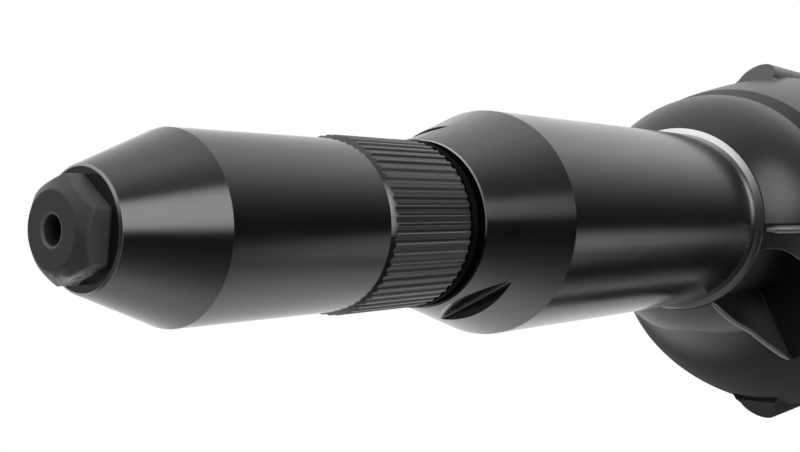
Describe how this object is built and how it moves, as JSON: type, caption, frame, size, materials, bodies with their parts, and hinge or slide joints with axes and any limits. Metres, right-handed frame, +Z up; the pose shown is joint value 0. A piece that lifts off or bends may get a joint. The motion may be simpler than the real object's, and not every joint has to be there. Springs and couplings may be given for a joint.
{
  "type": "electric riveter",
  "caption": "Pistol-grip electric pull riveter with a long stepped barrel, ribbed lock ring, hex nosepiece, gear case, motor housing and trigger handle.",
  "frame": {"origin": "centre of the nosepiece's front face, where the rivet's stem goes in", "axes": "+X along the barrel from the nose towards the motor, +Z up, the handle hangs down (-Z); the pictured side is -Y"},
  "size_m": [0.3235, 0.0744, 0.1945],
  "materials": {
    "nose_steel": "worn graphite-grey steel",
    "black_steel": "satin black finish on steel",
    "bright_steel": "satin bright ring",
    "seal_rubber": "black rubber",
    "case_metal": "satin black coated casting",
    "housing_plastic": "black moulded plastic",
    "control_plastic": "smooth dark moulded plastic",
    "tool_steel": "ground steel",
    "bearing_steel": "bearing steel",
    "bronze": "plain bronze",
    "lamination": "laminated steel",
    "copper": "enamelled copper",
    "carbon": "carbon brush",
    "zinc_screw": "blackened steel screw"
  },
  "bodies": {
    "frame": {"nosepiece": "nose_steel", "front_sleeve": "black_steel", "rear_sleeve": "black_steel", "barrel_ring": "bright_steel", "guide_bush": "bronze", "thrust_bearing": "bearing_steel", "nut_bearing": "bearing_steel", "lay_front_bush": "bronze", "lay_rear_bush": "bronze", "gear_case": "case_metal", "mid_plate": "case_metal", "motor_housing": "housing_plastic", "motor_front_bearing": "bearing_steel", "motor_rear_bearing": "bearing_steel", "stator": "lamination", "field_coils": "copper", "brush_holder_left": "bronze", "brush_holder_right": "bronze", "brush_left": "carbon", "brush_right": "carbon", "brush_cap_left": "control_plastic", "brush_cap_right": "control_plastic", "handle_left": "housing_plastic", "handle_right": "housing_plastic", "trigger_spring": "tool_steel", "switch": "control_plastic", "cord_inlet": "seal_rubber", "case_screws": "zinc_screw", "handle_screws": "zinc_screw"},
    "rotor": {"motor_shaft": "tool_steel", "armature_core": "lamination", "armature_winding": "copper", "commutator": "copper", "cooling_fan": "control_plastic"},
    "lay": {"lay_shaft": "tool_steel", "lay_gear": "tool_steel"},
    "nut": {"drive_nut": "bronze", "nut_gear": "tool_steel"},
    "draw": {"draw_tube": "tool_steel", "lead_screw": "tool_steel", "jaw_case": "tool_steel", "jaw_spring": "tool_steel"},
    "jaw_1": {"jaw_1": "tool_steel"},
    "jaw_2": {"jaw_2": "tool_steel"},
    "jaw_3": {"jaw_3": "tool_steel"},
    "pusher": {"jaw_pusher": "tool_steel"},
    "ring_feed": {"ring_seal": "seal_rubber"},
    "lock_ring": {"lock_ring": "black_steel"},
    "trigger": {"trigger": "control_plastic"},
    "slider": {"reverse_slider": "control_plastic"},
    "lock": {"lock_button": "control_plastic"}
  },
  "joints": [
    {"name": "motor_spin", "type": "hinge", "parent": "frame", "child": "rotor", "pos_m": [0.24, 0, -0.0046], "axis": [1, 0, 0], "range_deg": [-1, 11561]},
    {"name": "lay_spin", "type": "hinge", "parent": "frame", "child": "lay", "pos_m": [0.2, 0, -0.023], "axis": [1, 0, 0], "range_deg": [-4081, 1]},
    {"name": "nut_spin", "type": "hinge", "parent": "frame", "child": "nut", "pos_m": [0.18, 0, 0], "axis": [1, 0, 0], "range_deg": [-1, 1441]},
    {"name": "draw_slide", "type": "slide", "parent": "frame", "child": "draw", "axis": [1, 0, 0], "range_m": [0, 0.02]},
    {"name": "jaw_1_slide", "type": "slide", "parent": "draw", "child": "jaw_1", "axis": [0.9848, 0, 0.1736], "range_m": [0, 0.002], "stiffness_N_per_m": 400, "deforming": ["jaw_spring"]},
    {"name": "jaw_2_slide", "type": "slide", "parent": "draw", "child": "jaw_2", "axis": [0.9848, -0.1504, -0.0868], "range_m": [-0.00001, 0.00201]},
    {"name": "jaw_3_slide", "type": "slide", "parent": "draw", "child": "jaw_3", "axis": [0.9848, 0.1504, -0.0868], "range_m": [-0.00001, 0.00201]},
    {"name": "pusher_slide", "type": "slide", "parent": "draw", "child": "pusher", "axis": [1, 0, 0], "range_m": [-0.00001, 0.00201]},
    {"name": "ring_feed_slide", "type": "slide", "parent": "frame", "child": "ring_feed", "axis": [1, 0, 0], "range_m": [0, 0.001]},
    {"name": "lock_ring_turn", "type": "hinge", "parent": "ring_feed", "child": "lock_ring", "pos_m": [0.048, 0, 0], "axis": [1, 0, 0], "range_deg": [-1, 361]},
    {"name": "trigger_pull", "type": "slide", "parent": "frame", "child": "trigger", "axis": [1, 0, 0], "range_m": [0, 0.006], "stiffness_N_per_m": 1200, "springref_m": -0.002, "deforming": ["trigger_spring"]},
    {"name": "reverse_slide", "type": "slide", "parent": "frame", "child": "slider", "axis": [0, 1, 0], "range_m": [-0.002, 0.002]},
    {"name": "lock_press", "type": "slide", "parent": "frame", "child": "lock", "axis": [0, 1, 0], "range_m": [0, 0.0018], "stiffness_N_per_m": 500}
  ],
  "couplings": [
    {"joint": "nut_spin", "follows": "draw_slide", "rad_per_m": 1256.6},
    {"joint": "lay_spin", "follows": "draw_slide", "rad_per_m": -3560.5},
    {"joint": "motor_spin", "follows": "draw_slide", "rad_per_m": 10088},
    {"joint": "jaw_2_slide", "follows": "jaw_1_slide", "ratio": 1},
    {"joint": "jaw_3_slide", "follows": "jaw_1_slide", "ratio": 1},
    {"joint": "pusher_slide", "follows": "jaw_1_slide", "ratio": 0.98481},
    {"joint": "lock_ring_turn", "follows": "ring_feed_slide", "rad_per_m": 6283.2}
  ]
}
